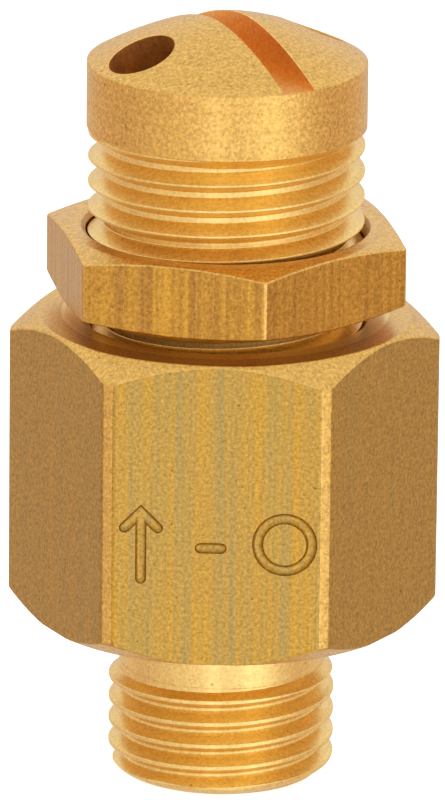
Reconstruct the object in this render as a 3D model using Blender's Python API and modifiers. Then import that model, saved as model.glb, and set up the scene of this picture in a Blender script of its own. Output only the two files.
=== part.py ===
"""Adjustable spring-loaded vent valve with a G1/4 inlet, as separate turned and milled pieces.

Units are metres. +Z runs up the valve's axis, and the origin is the centre of the inlet's end face.
The flat with the engraved mark faces -Y. Every piece is turned about the valve's axis, so every
object's origin, or its parent's, is on the axis that it slides or turns about.
"""
import math

import bmesh
import bpy
from mathutils import Matrix

MM = 0.001
SIDES = 30  # facets round a turned piece, and steps in one turn of thread
FINE_SIDES = 60  # facets where a cone cuts across flats
HALF_FACET = math.pi / SIDES
GAP = 0.1 * MM  # between pieces that rest on each other
MERGE = 0.001 * MM  # points closer than this are one point
OVERRUN = 1.0 * MM  # how far a cutter or an overlap runs past a surface
SLIVER = 0.15 * MM  # keeps a cutter's face off the face of what it cuts
EDGE_BREAK = 0.3 * MM  # small chamfers on turned edges

# Valve body: a hexagon with a G1/4 spigot under it
HEX_FLATS = 22.0 * MM
HEX_CORNER_RADIUS = 12.46 * MM  # the bar's corners are broken by this circle
SHOULDER_Z = 9.7 * MM
BODY_TOP_Z = 27.6 * MM
TOP_CHAMFER_RADIUS = 10.84 * MM
TOP_CHAMFER_DROP = math.tan(math.radians(37.0))
SHOULDER_CHAMFER_RADIUS = 11.05 * MM
SHOULDER_CHAMFER_RISE = math.tan(math.radians(36.0))
NECK_RADIUS = 5.95 * MM
NECK_LOW_Z = 6.6 * MM
INLET_RADIUS = 4.0 * MM
INLET_CHAMFER = 0.5 * MM
SPIGOT_END_RADIUS = 5.6 * MM

# Chamber inside the body
CHAMBER_RADIUS = 7.2 * MM
CHAMBER_FLOOR_Z = 12.0 * MM
SEAT_Z = 12.8 * MM
SEAT_FOOT_RADIUS = 5.2 * MM
SEAT_OUTER_RADIUS = 4.8 * MM
SEAT_INNER_RADIUS = 4.3 * MM
RELIEF_RADIUS = 8.25 * MM
RELIEF_LOW_Z = 16.4 * MM  # the thread's first turn starts inside the relief groove
RELIEF_HIGH_Z = 18.3 * MM
BORE_CHAMFER_RADIUS = 8.5 * MM

# Threads: G1/4 on the spigot, M16 x 1.5 between the body and the adjusting screw
G_PITCH = 1.337 * MM
G_CREST_RADIUS = 6.5785 * MM
G_ROOT_RADIUS = 5.7225 * MM
G_HALF_ANGLE = math.radians(27.5)
G_CREST_Z = 0.92 * MM  # height of a crest on the +X side
M_PITCH = 1.5 * MM
M_CREST_RADIUS = 8.0 * MM
M_ROOT_RADIUS = 7.08 * MM
M_HALF_ANGLE = math.radians(30.0)
M_CREST_FLAT = M_PITCH / 8
M_CREST_Z = 19.75 * MM
THREAD_PLAY = 0.1 * MM  # between the body's thread and the screw's, square to the flanks

# Adjusting screw: hollow, with a crowned and slotted head and two vent holes
HEAD_RADIUS = 8.1 * MM
SCREW_LOW_Z = 22.0 * MM
RUNOUT_LOW_Z = 38.1 * MM
RUNOUT_HIGH_Z = 38.9 * MM
RIM_Z = 42.72 * MM
CROWN_HEIGHT = 2.69 * MM
CROWN_POWER = 1.7
CROWN_STEPS = 9
SCREW_BORE_RADIUS = 5.6 * MM
SCREW_BORE_TOP_Z = 41.0 * MM
SLOT_WIDTH = 2.0 * MM
SLOT_FLOOR_Z = 42.66 * MM
SLOT_ANGLE = math.radians(-57.0)
VENT_RADIUS = 2.0 * MM
VENT_OFFSET = 5.8 * MM  # from the axis, on the crown's surface
VENT_TILT = math.radians(25.0)
VENT_REACH = 5.0 * MM  # into the head from the crown's surface
VENT_OVERRUN = 3.0 * MM

# Lock nut
NUT_FLATS = 19.0 * MM
NUT_CORNER_RADIUS = 10.9 * MM
NUT_LOW_Z = 28.65 * MM
NUT_HIGH_Z = 32.9 * MM
NUT_TURN = math.radians(-15.9)
NUT_CHAMFER_RADIUS = 9.3 * MM
NUT_CHAMFER_DROP = math.tan(math.radians(15.0))
NUT_BORE_RADIUS = 8.12 * MM  # clears the screw's crests, because the nut's own thread is left plain
NUT_BORE_CHAMFER = 0.25 * MM

# Valve plate and what is clamped to it on the stem
STEM_RADIUS = 1.5 * MM
STEM_HOLE_RADIUS = 1.62 * MM
STEM_LOW_Z = 9.7 * MM
STEM_HIGH_Z = 35.2 * MM
COLLAR_RADIUS = 2.3 * MM
COLLAR_HEIGHT = 1.0 * MM
DISC_RADIUS = 5.75 * MM
DISC_THICKNESS = 1.6 * MM
PLATE_RADIUS = 6.6 * MM
PLATE_RECESS_RADIUS = 5.9 * MM
PLATE_SKIRT = 1.3 * MM
PLATE_WEB = 1.6 * MM
HUB_RADIUS = 2.9 * MM
HUB_HEIGHT = 1.8 * MM
PORT_COUNT = 3
PORT_RADIUS = 1.5 * MM
PORT_DEPTH = 0.6 * MM  # how far each port bites into the plate's edge
WASHER_RADIUS = 3.4 * MM
WASHER_THICKNESS = 0.8 * MM
STEM_NUT_FLATS = 5.5 * MM
STEM_NUT_HEIGHT = 1.8 * MM

# Spring and the seat above it
SPRING_SEAT_RADIUS = 4.9 * MM
SPRING_SEAT_Z = 38.6 * MM
SPRING_SEAT_THICKNESS = 1.0 * MM
SPRING_SEAT_BOSS_RADIUS = 2.3 * MM
GUIDE_RADIUS = 2.7 * MM
GUIDE_BORE_RADIUS = 1.7 * MM
GUIDE_LOW_Z = 29.5 * MM
WIRE_RADIUS = 0.6 * MM
COIL_RADIUS = 4.2 * MM
END_PITCH = 1.3 * MM
ACTIVE_TURNS = 6.5
POINTS_PER_TURN = 12

# Heights in the clamped stack, from the seat upwards and downwards
DISC_LOW_Z = SEAT_Z + GAP
WEB_LOW_Z = DISC_LOW_Z + DISC_THICKNESS + GAP
WEB_HIGH_Z = WEB_LOW_Z + PLATE_WEB
HUB_HIGH_Z = WEB_HIGH_Z + HUB_HEIGHT
WASHER_HIGH_Z = DISC_LOW_Z - GAP
STEM_NUT_HIGH_Z = WASHER_HIGH_Z - WASHER_THICKNESS - GAP

for old in list(bpy.data.objects):
    bpy.data.objects.remove(old)

parts = bpy.data.collections.new("vent_valve")
cutters = bpy.data.collections.new("cutters")
for collection in (parts, cutters):
    bpy.context.scene.collection.children.link(collection)


def metal(name, colour, roughness, metallic=1.0):
    """Principled material with one colour."""
    material = bpy.data.materials.new(name)
    material.use_nodes = True
    shader = material.node_tree.nodes["Principled BSDF"]
    shader.inputs["Base Color"].default_value = (*colour, 1.0)
    shader.inputs["Roughness"].default_value = roughness
    shader.inputs["Metallic"].default_value = metallic
    return material


BRASS = metal("brass", (0.72, 0.45, 0.14), 0.32)
STAINLESS = metal("stainless_steel", (0.55, 0.55, 0.53), 0.28)
SPRING_STEEL = metal("spring_steel", (0.42, 0.42, 0.41), 0.35)
SEAL_RUBBER = metal("seal_rubber", (0.02, 0.02, 0.02), 0.6, metallic=0.0)


def place(obj, material=None):
    """Puts an object with the parts if it has a material, and otherwise with the cutters."""
    for collection in list(obj.users_collection):
        collection.objects.unlink(obj)
    if material is None:
        cutters.objects.link(obj)
        obj.hide_render = True
        obj.display_type = "WIRE"
    else:
        parts.objects.link(obj)
        obj.data.materials.clear()
        obj.data.materials.append(material)
        if obj.type == "MESH":
            obj.data.shade_smooth()
            obj.data.set_sharp_from_angle(angle=math.radians(30.0))
    return obj


def turned(name, outline, material=None, sides=SIDES, turn=0.0):
    """Turned solid. The outline's (radius, height) points run down the outer side, top to bottom.

    It starts and ends on the axis, or else it closes on itself and makes a ring. A turn of half a
    facet keeps a cutter's edges off the edges of what it cuts.
    """
    points = [(radius, 0.0, height) for radius, height in outline]
    edges = [(i, i + 1) for i in range(len(points) - 1)]
    if outline[0][0] > 0.0:
        edges.append((len(points) - 1, 0))
    mesh = bpy.data.meshes.new(name)
    mesh.from_pydata(points, edges, [])
    obj = bpy.data.objects.new(name, mesh)
    place(obj, material)
    obj.rotation_euler.z = turn
    screw = obj.modifiers.new("turn", "SCREW")
    screw.axis = "Z"
    screw.steps = sides
    screw.render_steps = sides
    screw.use_merge_vertices = True
    screw.merge_threshold = MERGE
    return obj


def hexagon(name, flats, low_z, high_z, material, turn=0.0):
    """Hexagonal prism with a corner on the +X side before it is turned."""
    bpy.ops.mesh.primitive_cylinder_add(
        vertices=6, radius=flats / math.sqrt(3.0), depth=high_z - low_z
    )
    obj = bpy.context.object
    obj.name = name
    obj.data.name = name
    middle = (low_z + high_z) / 2
    lift = Matrix.Translation((0.0, 0.0, middle))
    obj.data.transform(lift @ Matrix.Rotation(math.radians(30.0) + turn, 4, "Z"))
    return place(obj, material)


def pin(name, radius, length, location, rotation):
    """Plain round cutter, centred at a location."""
    bpy.ops.mesh.primitive_cylinder_add(
        vertices=SIDES, radius=radius, depth=length, location=location, rotation=rotation
    )
    obj = bpy.context.object
    obj.name = name
    return place(obj)


def combine(obj, tool, operation):
    """Exact Boolean of an object with a hidden tool."""
    step = obj.modifiers.new(operation.lower() + "_" + tool.name, "BOOLEAN")
    step.operation = operation
    step.solver = "EXACT"
    step.object = tool
    return obj


def threaded_bar(name, pitch, crest_radius, root_radius, half_angle, crest_flat, crest_z, low_z, high_z):
    """Closed bar with a right-hand thread, longer than low_z to high_z by up to a turn at each end.

    crest_z is the height of any one crest on the +X side.
    """
    flank = (crest_radius - root_radius) * math.tan(half_angle)
    first = math.floor((low_z - crest_z) / pitch) - 1
    last = math.ceil((high_z - crest_z) / pitch)
    start_z = crest_z + first * pitch
    one_pitch = [
        (crest_radius, start_z - crest_flat / 2),
        (crest_radius, start_z + crest_flat / 2),
        (root_radius, start_z + crest_flat / 2 + flank),
        (root_radius, start_z + pitch - crest_flat / 2 - flank),
        (crest_radius, start_z + pitch - crest_flat / 2),
    ]
    bar = bmesh.new()
    corners = [bar.verts.new((radius, 0.0, height)) for radius, height in one_pitch]
    profile = [bar.edges.new(pair) for pair in zip(corners, corners[1:])]
    turns = last - first
    bmesh.ops.spin(
        bar,
        geom=corners + profile,
        cent=(0.0, 0.0, 0.0),
        axis=(0.0, 0.0, 1.0),
        dvec=(0.0, 0.0, pitch / SIDES),
        angle=2 * math.pi * turns,
        steps=SIDES * turns,
    )
    bmesh.ops.remove_doubles(bar, verts=bar.verts, dist=MERGE)
    middle_z = (low_z + high_z) / 2
    rims = [edge for edge in bar.edges if len(edge.link_faces) == 1]
    for below in (True, False):
        rim = [e for e in rims if ((e.verts[0].co.z < middle_z) == below)]
        heights = [v.co.z for e in rim for v in e.verts]
        centre = bar.verts.new((0.0, 0.0, sum(heights) / len(heights)))
        for edge in rim:
            bar.faces.new((edge.verts[0], edge.verts[1], centre))
    bmesh.ops.recalc_face_normals(bar, faces=bar.faces)
    mesh = bpy.data.meshes.new(name)
    bar.to_mesh(mesh)
    bar.free()
    return bpy.data.objects.new(name, mesh)


def crown_z(radius):
    """Height of the head's crowned top at a radius."""
    return RIM_Z + CROWN_HEIGHT * (1.0 - (radius / HEAD_RADIUS) ** CROWN_POWER)


def spigot():
    """G1/4 male thread with a chamfered end and a plain neck that reaches into the hexagon."""
    bar = threaded_bar(
        "spigot",
        G_PITCH,
        G_CREST_RADIUS,
        G_ROOT_RADIUS,
        G_HALF_ANGLE,
        (G_PITCH - 2 * (G_CREST_RADIUS - G_ROOT_RADIUS) * math.tan(G_HALF_ANGLE)) / 2,
        G_CREST_Z,
        -OVERRUN / 2,
        NECK_LOW_Z + OVERRUN / 2,
    )
    place(bar)
    chamfer = G_CREST_RADIUS - SPIGOT_END_RADIUS
    envelope = turned(
        "spigot_envelope",
        [
            (0.0, NECK_LOW_Z),
            (NECK_RADIUS - SLIVER, NECK_LOW_Z),
            (G_CREST_RADIUS + SLIVER, NECK_LOW_Z - OVERRUN),
            (G_CREST_RADIUS + SLIVER, chamfer + SLIVER),
            (SPIGOT_END_RADIUS, 0.0),
            (0.0, 0.0),
        ],
        turn=HALF_FACET,
    )
    combine(bar, envelope, "INTERSECT")
    neck = turned(
        "neck",
        [
            (0.0, SHOULDER_Z + OVERRUN),
            (NECK_RADIUS, SHOULDER_Z + OVERRUN),
            (NECK_RADIUS, NECK_LOW_Z - OVERRUN),
            (0.0, NECK_LOW_Z - OVERRUN),
        ],
        turn=HALF_FACET,
    )
    return combine(bar, neck, "UNION")


def valve_body():
    """Hexagonal body with the inlet, the valve seat and the chamber that takes the adjusting screw."""
    body = hexagon("valve_body", HEX_FLATS, SHOULDER_Z, BODY_TOP_Z, BRASS)
    corner = HEX_CORNER_RADIUS
    envelope = turned(
        "hex_envelope",
        [
            (0.0, BODY_TOP_Z + OVERRUN),
            (TOP_CHAMFER_RADIUS - OVERRUN / TOP_CHAMFER_DROP, BODY_TOP_Z + OVERRUN),
            (corner, BODY_TOP_Z - (corner - TOP_CHAMFER_RADIUS) * TOP_CHAMFER_DROP),
            (corner, SHOULDER_Z + (corner - SHOULDER_CHAMFER_RADIUS) * SHOULDER_CHAMFER_RISE),
            (SHOULDER_CHAMFER_RADIUS - OVERRUN / SHOULDER_CHAMFER_RISE, SHOULDER_Z - OVERRUN),
            (0.0, SHOULDER_Z - OVERRUN),
        ],
        sides=FINE_SIDES,
    )
    combine(body, envelope, "INTERSECT")
    combine(body, spigot(), "UNION")
    within_tap = CHAMBER_RADIUS - SLIVER
    bore = turned(
        "body_bore",
        [
            (0.0, BODY_TOP_Z + OVERRUN),
            (BORE_CHAMFER_RADIUS + OVERRUN, BODY_TOP_Z + OVERRUN),
            (within_tap, BODY_TOP_Z - (BORE_CHAMFER_RADIUS - within_tap)),
            (within_tap, RELIEF_HIGH_Z + (RELIEF_RADIUS - within_tap) / 2),
            (RELIEF_RADIUS, RELIEF_HIGH_Z),
            (RELIEF_RADIUS, RELIEF_LOW_Z),
            (CHAMBER_RADIUS, RELIEF_LOW_Z - (RELIEF_RADIUS - CHAMBER_RADIUS) / 2),
            (CHAMBER_RADIUS, CHAMBER_FLOOR_Z),
            (SEAT_FOOT_RADIUS, CHAMBER_FLOOR_Z),
            (SEAT_OUTER_RADIUS, SEAT_Z),
            (SEAT_INNER_RADIUS, SEAT_Z),
            (INLET_RADIUS, SEAT_Z - (SEAT_INNER_RADIUS - INLET_RADIUS)),
            (INLET_RADIUS, INLET_CHAMFER),
            (INLET_RADIUS + INLET_CHAMFER + OVERRUN, -OVERRUN),
            (0.0, -OVERRUN),
        ],
    )
    combine(body, bore, "DIFFERENCE")
    narrower = 2 * THREAD_PLAY * math.tan(M_HALF_ANGLE)
    wider = 2 * THREAD_PLAY / math.cos(M_HALF_ANGLE)
    tap = threaded_bar(
        "body_tap",
        M_PITCH,
        M_CREST_RADIUS + THREAD_PLAY,
        CHAMBER_RADIUS,
        M_HALF_ANGLE,
        M_CREST_FLAT - narrower + wider,
        M_CREST_Z,
        RELIEF_HIGH_Z,
        BODY_TOP_Z + M_PITCH,
    )
    return combine(body, place(tap), "DIFFERENCE")


def adjusting_screw():
    """Hollow screw that sets the spring's load, slotted for a screwdriver and vented through its head."""
    screw = threaded_bar(
        "adjusting_screw",
        M_PITCH,
        M_CREST_RADIUS,
        M_ROOT_RADIUS,
        M_HALF_ANGLE,
        M_CREST_FLAT,
        M_CREST_Z,
        SCREW_LOW_Z,
        RUNOUT_HIGH_Z + M_PITCH / 2,
    )
    place(screw, BRASS)
    outside = M_CREST_RADIUS + 2 * SLIVER
    end_radius = M_ROOT_RADIUS - SLIVER
    envelope = turned(
        "screw_envelope",
        [
            (0.0, RIM_Z),
            (outside, RIM_Z),
            (outside, SCREW_LOW_Z + outside - end_radius),
            (end_radius, SCREW_LOW_Z),
            (0.0, SCREW_LOW_Z),
        ],
    )
    combine(screw, envelope, "INTERSECT")
    crown = [HEAD_RADIUS * i / CROWN_STEPS for i in range(CROWN_STEPS + 1)]
    head = turned(
        "screw_head",
        [(radius, crown_z(radius)) for radius in crown]
        + [
            (HEAD_RADIUS, RUNOUT_HIGH_Z),
            (end_radius, RUNOUT_LOW_Z),
            (0.0, RUNOUT_LOW_Z),
        ],
    )
    combine(screw, head, "UNION")
    bore = turned(
        "screw_bore",
        [
            (0.0, SCREW_BORE_TOP_Z),
            (SCREW_BORE_RADIUS, SCREW_BORE_TOP_Z),
            (SCREW_BORE_RADIUS, SCREW_LOW_Z - OVERRUN),
            (0.0, SCREW_LOW_Z - OVERRUN),
        ],
        turn=HALF_FACET,
    )
    combine(screw, bore, "DIFFERENCE")
    bpy.ops.mesh.primitive_cube_add(size=1.0)
    slot = bpy.context.object
    slot.name = "screwdriver_slot"
    slot_height = 2 * CROWN_HEIGHT
    slot.data.transform(Matrix.Diagonal((3 * HEAD_RADIUS, SLOT_WIDTH, slot_height, 1.0)))
    slot.location = (0.0, 0.0, SLOT_FLOOR_Z + slot_height / 2)
    slot.rotation_euler = (0.0, 0.0, SLOT_ANGLE)
    combine(screw, place(slot), "DIFFERENCE")
    for side in (1, -1):
        angle = SLOT_ANGLE + side * math.radians(90.0)
        outward = (math.cos(angle), math.sin(angle))
        length = VENT_REACH + VENT_OVERRUN
        middle = length / 2 - VENT_OVERRUN
        radius = VENT_OFFSET - middle * math.sin(VENT_TILT)
        height = crown_z(VENT_OFFSET) - middle * math.cos(VENT_TILT)
        vent = pin(
            f"vent_hole_{1 if side > 0 else 2}",
            VENT_RADIUS,
            length,
            (radius * outward[0], radius * outward[1], height),
            (0.0, VENT_TILT, angle),
        )
        combine(screw, vent, "DIFFERENCE")
    return screw


def lock_nut():
    """Thin hexagon nut that locks the adjusting screw against the body."""
    nut = hexagon("lock_nut", NUT_FLATS, NUT_LOW_Z, NUT_HIGH_Z, BRASS, NUT_TURN)
    drop = (NUT_CORNER_RADIUS - NUT_CHAMFER_RADIUS) * NUT_CHAMFER_DROP
    inward = OVERRUN / NUT_CHAMFER_DROP
    envelope = turned(
        "nut_envelope",
        [
            (0.0, NUT_HIGH_Z + OVERRUN),
            (NUT_CHAMFER_RADIUS - inward, NUT_HIGH_Z + OVERRUN),
            (NUT_CORNER_RADIUS, NUT_HIGH_Z - drop),
            (NUT_CORNER_RADIUS, NUT_LOW_Z + drop),
            (NUT_CHAMFER_RADIUS - inward, NUT_LOW_Z - OVERRUN),
            (0.0, NUT_LOW_Z - OVERRUN),
        ],
        sides=FINE_SIDES,
    )
    combine(nut, envelope, "INTERSECT")
    bore = turned(
        "nut_bore",
        [
            (0.0, NUT_HIGH_Z + OVERRUN),
            (NUT_BORE_RADIUS + NUT_BORE_CHAMFER + OVERRUN, NUT_HIGH_Z + OVERRUN),
            (NUT_BORE_RADIUS, NUT_HIGH_Z - NUT_BORE_CHAMFER),
            (NUT_BORE_RADIUS, NUT_LOW_Z + NUT_BORE_CHAMFER),
            (NUT_BORE_RADIUS + NUT_BORE_CHAMFER + OVERRUN, NUT_LOW_Z - OVERRUN),
            (0.0, NUT_LOW_Z - OVERRUN),
        ],
    )
    return combine(nut, bore, "DIFFERENCE")


def valve_plate():
    """Brass plate that holds the sealing disc in its skirt and carries the spring on its upper face."""
    plate = turned(
        "valve_plate",
        [
            (HUB_RADIUS, HUB_HIGH_Z),
            (HUB_RADIUS, WEB_HIGH_Z),
            (PLATE_RADIUS - EDGE_BREAK, WEB_HIGH_Z),
            (PLATE_RADIUS, WEB_HIGH_Z - EDGE_BREAK),
            (PLATE_RADIUS, WEB_LOW_Z - PLATE_SKIRT),
            (PLATE_RECESS_RADIUS, WEB_LOW_Z - PLATE_SKIRT),
            (PLATE_RECESS_RADIUS, WEB_LOW_Z),
            (STEM_HOLE_RADIUS, WEB_LOW_Z),
            (STEM_HOLE_RADIUS, HUB_HIGH_Z),
        ],
        BRASS,
    )
    for i in range(PORT_COUNT):
        angle = 2 * math.pi * i / PORT_COUNT
        reach = PLATE_RADIUS + PORT_RADIUS - PORT_DEPTH
        port = pin(
            f"plate_port_{i + 1}",
            PORT_RADIUS,
            4 * PLATE_WEB,
            (reach * math.cos(angle), reach * math.sin(angle), WEB_LOW_Z),
            (0.0, 0.0, 0.0),
        )
        combine(plate, port, "DIFFERENCE")
    return plate


def ring(name, inner, outer, low_z, high_z, material):
    """Flat ring."""
    return turned(
        name, [(outer, high_z), (outer, low_z), (inner, low_z), (inner, high_z)], material
    )


def valve_stem():
    """Steel stem with a collar that the plate is clamped against; its upper end slides in the guide."""
    collar_low_z = HUB_HIGH_Z + GAP
    return turned(
        "valve_stem",
        [
            (0.0, STEM_HIGH_Z),
            (STEM_RADIUS - EDGE_BREAK, STEM_HIGH_Z),
            (STEM_RADIUS, STEM_HIGH_Z - EDGE_BREAK),
            (STEM_RADIUS, collar_low_z + COLLAR_HEIGHT),
            (COLLAR_RADIUS, collar_low_z + COLLAR_HEIGHT),
            (COLLAR_RADIUS, collar_low_z),
            (STEM_RADIUS, collar_low_z),
            (STEM_RADIUS, STEM_LOW_Z + EDGE_BREAK),
            (STEM_RADIUS - EDGE_BREAK, STEM_LOW_Z),
            (0.0, STEM_LOW_Z),
        ],
        STAINLESS,
    )


def stem_nut():
    """Small nut under the washer, inside the inlet."""
    low_z = STEM_NUT_HIGH_Z - STEM_NUT_HEIGHT
    nut = hexagon("stem_nut", STEM_NUT_FLATS, low_z, STEM_NUT_HIGH_Z, STAINLESS)
    hole = pin(
        "stem_nut_hole", STEM_HOLE_RADIUS, 3 * STEM_NUT_HEIGHT, (0.0, 0.0, low_z), (0.0, 0.0, 0.0)
    )
    return combine(nut, hole, "DIFFERENCE")


def upper_spring_seat():
    """Flanged sleeve that bears on the screw's ceiling, takes the spring and guides the stem."""
    return turned(
        "upper_spring_seat",
        [
            (SPRING_SEAT_BOSS_RADIUS, SCREW_BORE_TOP_Z - GAP),
            (SPRING_SEAT_BOSS_RADIUS, SPRING_SEAT_Z + SPRING_SEAT_THICKNESS),
            (SPRING_SEAT_RADIUS, SPRING_SEAT_Z + SPRING_SEAT_THICKNESS),
            (SPRING_SEAT_RADIUS, SPRING_SEAT_Z),
            (GUIDE_RADIUS, SPRING_SEAT_Z),
            (GUIDE_RADIUS, GUIDE_LOW_Z),
            (GUIDE_BORE_RADIUS, GUIDE_LOW_Z),
            (GUIDE_BORE_RADIUS, SCREW_BORE_TOP_Z - GAP),
        ],
        BRASS,
    )


def pressure_spring():
    """Compression spring with a close turn at each end."""
    low_z = WEB_HIGH_Z + GAP + WIRE_RADIUS
    high_z = SPRING_SEAT_Z - GAP - WIRE_RADIUS
    active_pitch = (high_z - low_z - 2 * END_PITCH) / ACTIVE_TURNS
    turns = ACTIVE_TURNS + 2
    count = round(turns * POINTS_PER_TURN) + 1
    curve = bpy.data.curves.new("pressure_spring", "CURVE")
    curve.dimensions = "3D"
    curve.bevel_depth = WIRE_RADIUS
    curve.bevel_resolution = 2
    curve.use_fill_caps = True
    coil = curve.splines.new("POLY")
    coil.points.add(count - 1)
    for i, point in enumerate(coil.points):
        turn = turns * i / (count - 1)
        rise = END_PITCH * min(turn, 1.0)
        rise += active_pitch * min(max(turn - 1.0, 0.0), ACTIVE_TURNS)
        rise += END_PITCH * max(turn - 1.0 - ACTIVE_TURNS, 0.0)
        angle = 2 * math.pi * turn
        point.co = (COIL_RADIUS * math.cos(angle), COIL_RADIUS * math.sin(angle), low_z + rise, 1.0)
    return place(bpy.data.objects.new("pressure_spring", curve), SPRING_STEEL)


def valve_carriage():
    """Everything that lifts off the seat together, under one empty on the axis."""
    carriage = bpy.data.objects.new("valve_carriage", None)
    parts.objects.link(carriage)
    pieces = [
        valve_plate(),
        ring(
            "sealing_disc",
            STEM_HOLE_RADIUS,
            DISC_RADIUS,
            DISC_LOW_Z,
            DISC_LOW_Z + DISC_THICKNESS,
            SEAL_RUBBER,
        ),
        ring(
            "seal_washer",
            STEM_HOLE_RADIUS,
            WASHER_RADIUS,
            WASHER_HIGH_Z - WASHER_THICKNESS,
            WASHER_HIGH_Z,
            STAINLESS,
        ),
        valve_stem(),
        stem_nut(),
    ]
    for piece in pieces:
        piece.parent = carriage
    return carriage


valve_body()
adjusting_screw()
lock_nut()
upper_spring_seat()
pressure_spring()
valve_carriage()
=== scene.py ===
"""Looks of an adjustable spring-loaded brass vent valve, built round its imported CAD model.

Units are metres, +Z runs up the valve's axis, and the flat with the engraved mark faces -Y. The body, the
adjusting screw and the lock nut are rebuilt with real helical threads, softened edges and engraving, inside
the CAD model's sizes. The pieces inside the valve are rebuilt round instead of faceted.
"""
import math

import bmesh
import bpy
import numpy as np
from mathutils import Matrix, Vector


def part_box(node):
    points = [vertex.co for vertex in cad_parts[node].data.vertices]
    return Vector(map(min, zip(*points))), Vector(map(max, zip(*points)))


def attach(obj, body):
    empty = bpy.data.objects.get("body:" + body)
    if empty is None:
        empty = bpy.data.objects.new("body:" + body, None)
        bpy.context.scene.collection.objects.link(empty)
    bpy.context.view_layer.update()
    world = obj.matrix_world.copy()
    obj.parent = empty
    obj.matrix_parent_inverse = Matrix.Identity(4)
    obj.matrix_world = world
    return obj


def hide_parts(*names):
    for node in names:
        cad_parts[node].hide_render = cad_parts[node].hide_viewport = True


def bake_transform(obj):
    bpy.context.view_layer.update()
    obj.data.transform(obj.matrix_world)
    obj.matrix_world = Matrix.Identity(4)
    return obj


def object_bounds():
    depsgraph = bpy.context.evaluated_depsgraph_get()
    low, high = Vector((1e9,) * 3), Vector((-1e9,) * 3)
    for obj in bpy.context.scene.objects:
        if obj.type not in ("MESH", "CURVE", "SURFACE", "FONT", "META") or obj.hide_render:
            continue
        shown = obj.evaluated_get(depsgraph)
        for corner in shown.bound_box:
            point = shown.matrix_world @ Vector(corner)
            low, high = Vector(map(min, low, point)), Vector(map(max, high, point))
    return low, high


MM = 0.001
FULL_TURN = 2 * math.pi
TINY = 1e-9
MERGE = 0.001 * MM

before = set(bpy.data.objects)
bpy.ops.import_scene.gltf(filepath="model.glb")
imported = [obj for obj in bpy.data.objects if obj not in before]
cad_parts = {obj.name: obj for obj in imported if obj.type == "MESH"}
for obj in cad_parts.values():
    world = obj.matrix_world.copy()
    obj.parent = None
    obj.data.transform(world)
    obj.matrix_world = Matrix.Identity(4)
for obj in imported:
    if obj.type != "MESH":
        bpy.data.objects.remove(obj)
cad_low, cad_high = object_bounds()
body_low, body_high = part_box("valve_body")
nut_low, nut_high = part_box("lock_nut")
screw_low, screw_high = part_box("adjusting_screw")

# Camera: it looks at a point by the axis from in front, above and a little to the right
CAMERA_DISTANCE = 600.0 * MM
CAMERA_ELEVATION = math.radians(17.3)
CAMERA_TURN = math.radians(2.0)
CAMERA_ROLL = math.radians(0.61)
CAMERA_PIVOT_Z = 18.5 * MM
AIM_Z = 22.28 * MM
AIM_SIDE = -0.09 * MM
PIXELS_WIDE = 445
PIXELS_PER_METRE = 17200.0  # at the camera's distance
SENSOR = 36.0

# Body
HEX_FLATS = 22.0 * MM
HEX_CORNER_RADIUS = 12.46 * MM
SHOULDER_Z = 9.7 * MM
TOP_CHAMFER_RADIUS = 10.84 * MM
TOP_CHAMFER_DROP = math.tan(math.radians(37.0))
SHOULDER_CHAMFER_RADIUS = 11.05 * MM
SHOULDER_CHAMFER_RISE = math.tan(math.radians(36.0))
LEAST_CHAMFER = 0.06 * MM  # where the chamfer only grazes the middle of a flat
NECK_RADIUS = 5.95 * MM
NECK_LOW_Z = 6.6 * MM
NECK_BLEND = 0.6 * MM  # the last turn of thread gets shallower over this height
INLET_RADIUS = 4.0 * MM
INLET_CHAMFER = 0.5 * MM
SPIGOT_END_RADIUS = 5.3 * MM
SPIGOT_END_RISE = 1.25 * MM
CHAMBER_RADIUS = 7.2 * MM
CHAMBER_FLOOR_Z = 12.0 * MM
SEAT_Z = 12.8 * MM
SEAT_FOOT_RADIUS = 5.2 * MM
SEAT_OUTER_RADIUS = 4.8 * MM
SEAT_INNER_RADIUS = 4.3 * MM
RELIEF_RADIUS = 8.25 * MM
RELIEF_LOW_Z = 16.4 * MM
RELIEF_HIGH_Z = 18.3 * MM
BORE_CHAMFER_RADIUS = 8.5 * MM

# Threads
G_PITCH = 1.337 * MM
G_CREST_RADIUS = 6.5785 * MM
G_ROOT_RADIUS = 5.7225 * MM
G_HALF_ANGLE = math.radians(27.5)
G_CREST_Z = 0.92 * MM
M_PITCH = 1.5 * MM
M_CREST_RADIUS = 8.0 * MM
M_ROOT_RADIUS = 7.08 * MM
M_HALF_ANGLE = math.radians(30.0)
M_CREST_FLAT = M_PITCH / 8
M_CREST_Z = 19.75 * MM
SHARP_CREST = 0.11 * MM  # flat that is left on the screw's crests
THREAD_PLAY = 0.1 * MM

# Adjusting screw
HEAD_RADIUS = 8.1 * MM
RUNOUT_LOW_Z = 38.1 * MM
RUNOUT_HIGH_Z = 38.9 * MM
RIM_Z = 42.72 * MM
CROWN_HEIGHT = 2.69 * MM
CROWN_POWER = 1.7
SCREW_BORE_RADIUS = 5.6 * MM
SCREW_BORE_TOP_Z = 41.0 * MM
SLOT_WIDTH = 2.0 * MM
SLOT_FLOOR_Z = 42.66 * MM
SLOT_ANGLE = math.radians(-57.0)
SLOT_TOOL_REACH = 9.0 * MM  # either way from the axis, past the head
SLOT_TOOL_RINGS = 73
SLOT_TOOL_RISE = 1.5 * MM  # how far the cutter stands out of the crown
VENT_RADIUS = 2.0 * MM
VENT_OFFSET = 5.8 * MM
VENT_TILT = math.radians(25.0)
VENT_REACH = 5.0 * MM
VENT_TOOL_RISE = 2.0 * MM
VENT_SIDES = 72
EDGE_CHAMFER = 0.05 * MM  # on the slot's and the vents' mouths

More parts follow.
